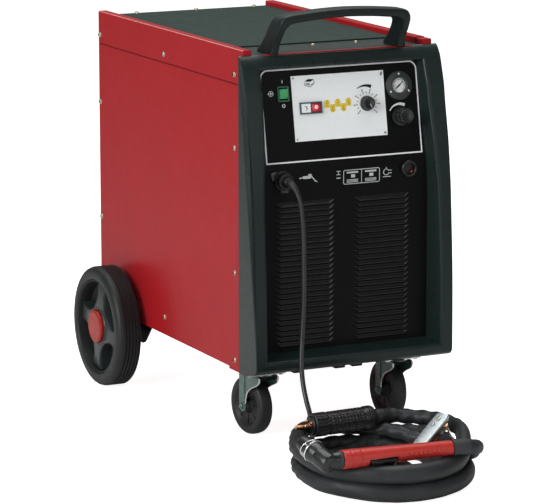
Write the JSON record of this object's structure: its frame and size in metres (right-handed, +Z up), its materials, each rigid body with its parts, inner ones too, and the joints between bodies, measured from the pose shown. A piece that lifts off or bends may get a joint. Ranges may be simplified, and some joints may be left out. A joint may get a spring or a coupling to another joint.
{
  "type": "plasma cutter unit",
  "caption": "Wheeled plasma cutting unit with a louvred front, control panel, carry handle, casters, a coiled torch hose and a return cable with clamp.",
  "frame": {"origin": "on the floor under the middle of the machine without its hose and cable", "axes": "+X to the right as seen from the front, +Y to the rear, +Z up"},
  "size_m": [0.6046, 1.3435, 0.891],
  "materials": {
    "red_paint": "semi-gloss red paint with a fine texture",
    "cover_paint": "matt dark grey-green paint",
    "cover_mat": "fine-textured rubber mat",
    "moulding": "satin dark grey-green moulding",
    "black_panel": "matt black paint",
    "legend_plate": "white printed plate",
    "switch_green": "translucent green",
    "button_red": "translucent red",
    "window_grey": "dark blue-grey bezel",
    "black_plastic": "black moulded plastic",
    "gauge_metal": "grey plated steel",
    "dial_white": "white dial with plain divisions",
    "lens": "clear",
    "zinc": "bright zinc plate",
    "brass": "machined brass",
    "copper": "coppered steel",
    "tyre": "solid black rubber",
    "rim_plastic": "dark grey moulded rim",
    "cap_red": "red moulded cap",
    "hose_cover": "dark grey sleeve",
    "cable_jacket": "black cable jacket",
    "torch_red": "red moulded grip",
    "core_iron": "varnished laminations",
    "winding": "enamelled copper wire",
    "heat_sink_aluminium": "extruded fins",
    "board": "green circuit board"
  },
  "bodies": {
    "unit": {"base_chassis": "red_paint", "left_side_panel": "red_paint", "right_side_panel": "red_paint", "top_cover": "cover_paint", "top_mat": "cover_mat", "rear_panel": "red_paint", "front_frame": "moulding", "front_panel": "black_panel", "control_plate": "legend_plate", "switch_housing": "black_plastic", "indicator_frame": "window_grey", "gauge_case": "gauge_metal", "gauge_dial": "dial_white", "gauge_lens": "lens", "regulator_body": "black_plastic", "cable_gland": "black_plastic", "return_socket": "black_plastic", "carry_handle": "moulding", "rear_axle": "zinc", "axle_bracket_left": "black_panel", "axle_bracket_right": "black_panel", "caster_plate_left": "zinc", "caster_plate_right": "zinc", "transformer_core": "core_iron", "transformer_winding": "winding", "heat_sink": "heat_sink_aluminium", "control_board": "board", "fan_housing": "black_plastic", "air_inlet": "brass", "mains_gland": "black_plastic", "hose_coil": "hose_cover", "cable_coil": "cable_jacket", "connector_body": "black_plastic", "hose_lead_in": "hose_cover", "torch_handle": "torch_red", "torch_head": "black_plastic", "hose_lead_out": "hose_cover", "return_cable": "cable_jacket", "clamp_arm_upper": "zinc"},
    "switch_rocker_body": {"switch_rocker": "switch_green"},
    "indicator_button_body": {"indicator_button": "button_red"},
    "current_knob_body": {"current_knob": "black_plastic"},
    "gauge_needle_body": {"gauge_needle": "black_plastic"},
    "regulator_knob_body": {"regulator_knob": "black_plastic"},
    "fan_rotor_body": {"fan_rotor": "black_plastic"},
    "rear_wheel_left": {"tyre_left": "tyre", "rim_left": "rim_plastic", "hub_cap_left": "cap_red"},
    "rear_wheel_right": {"tyre_right": "tyre", "rim_right": "rim_plastic", "hub_cap_right": "cap_red"},
    "caster_left": {"caster_fork_left": "zinc", "caster_axle_left": "zinc"},
    "caster_right": {"caster_fork_right": "zinc", "caster_axle_right": "zinc"},
    "caster_wheel_left_body": {"caster_wheel_left": "tyre"},
    "caster_wheel_right_body": {"caster_wheel_right": "tyre"},
    "connector_ring_body": {"connector_ring": "black_plastic"},
    "torch_trigger_body": {"torch_trigger": "black_plastic"},
    "clamp_lower_body": {"clamp_arm_lower": "copper"}
  },
  "joints": [
    {"name": "power_switch_rock", "type": "hinge", "parent": "unit", "child": "switch_rocker_body", "pos_m": [-0.13, -0.35546, 0.71957], "axis": [1, 0, 0], "range_deg": [-12, 0]},
    {"name": "indicator_button_push", "type": "slide", "parent": "unit", "child": "indicator_button_body", "axis": [0, 0.9851, -0.1719], "range_m": [0, 0.002], "stiffness_N_per_m": 150},
    {"name": "current_knob_turn", "type": "hinge", "parent": "unit", "child": "current_knob_body", "pos_m": [0.058, -0.36276, 0.68938], "axis": [0, -0.9851, 0.1719], "range_deg": [-135, 135]},
    {"name": "gauge_needle_turn", "type": "hinge", "parent": "unit", "child": "gauge_needle_body", "pos_m": [0.1345, -0.35729, 0.7207], "axis": [0, -0.9851, 0.1719], "range_deg": [-80, 180]},
    {"name": "regulator_knob_turn", "type": "hinge", "parent": "unit", "child": "regulator_knob_body", "pos_m": [0.133, -0.36826, 0.65785], "axis": [0, -0.9851, 0.1719], "continuous": true},
    {"name": "fan_spin", "type": "hinge", "parent": "unit", "child": "fan_rotor_body", "pos_m": [0, 0.3685, 0.56], "axis": [0, -1, 0], "continuous": true},
    {"name": "rear_wheel_left_spin", "type": "hinge", "parent": "unit", "child": "rear_wheel_left", "pos_m": [-0.259, 0.259, 0.132], "axis": [1, 0, 0], "continuous": true},
    {"name": "rear_wheel_right_spin", "type": "hinge", "parent": "unit", "child": "rear_wheel_right", "pos_m": [0.259, 0.259, 0.132], "axis": [1, 0, 0], "continuous": true},
    {"name": "caster_left_swivel", "type": "hinge", "parent": "unit", "child": "caster_left", "pos_m": [-0.158, -0.312, 0.13], "axis": [0, 0, 1], "continuous": true},
    {"name": "caster_right_swivel", "type": "hinge", "parent": "unit", "child": "caster_right", "pos_m": [0.158, -0.312, 0.13], "axis": [0, 0, 1], "continuous": true},
    {"name": "caster_left_roll", "type": "hinge", "parent": "caster_left", "child": "caster_wheel_left_body", "pos_m": [-0.16226, -0.27726, 0.0617], "axis": [0.9925, 0.1219, 0], "continuous": true},
    {"name": "caster_right_roll", "type": "hinge", "parent": "caster_right", "child": "caster_wheel_right_body", "pos_m": [0.158, -0.277, 0.0617], "axis": [1, 0, 0], "continuous": true},
    {"name": "connector_ring_turn", "type": "hinge", "parent": "unit", "child": "connector_ring_body", "pos_m": [-0.178, -0.583, 0.088], "axis": [0.9989, 0.0468, 0], "continuous": true},
    {"name": "torch_trigger_pull", "type": "hinge", "parent": "unit", "child": "torch_trigger_body", "pos_m": [-0.19206, -0.86194, 0.08279], "axis": [0.0363, 0.5996, -0.7995], "range_deg": [-4, 0], "stiffness_Nm_per_rad": 0.3},
    {"name": "clamp_open", "type": "hinge", "parent": "unit", "child": "clamp_lower_body", "pos_m": [0.02273, -0.73317, 0.08675], "axis": [-0.3748, 0.9208, 0.1081], "range_deg": [-12, 0], "stiffness_Nm_per_rad": 0.8, "springref_deg": 17.19}
  ]
}
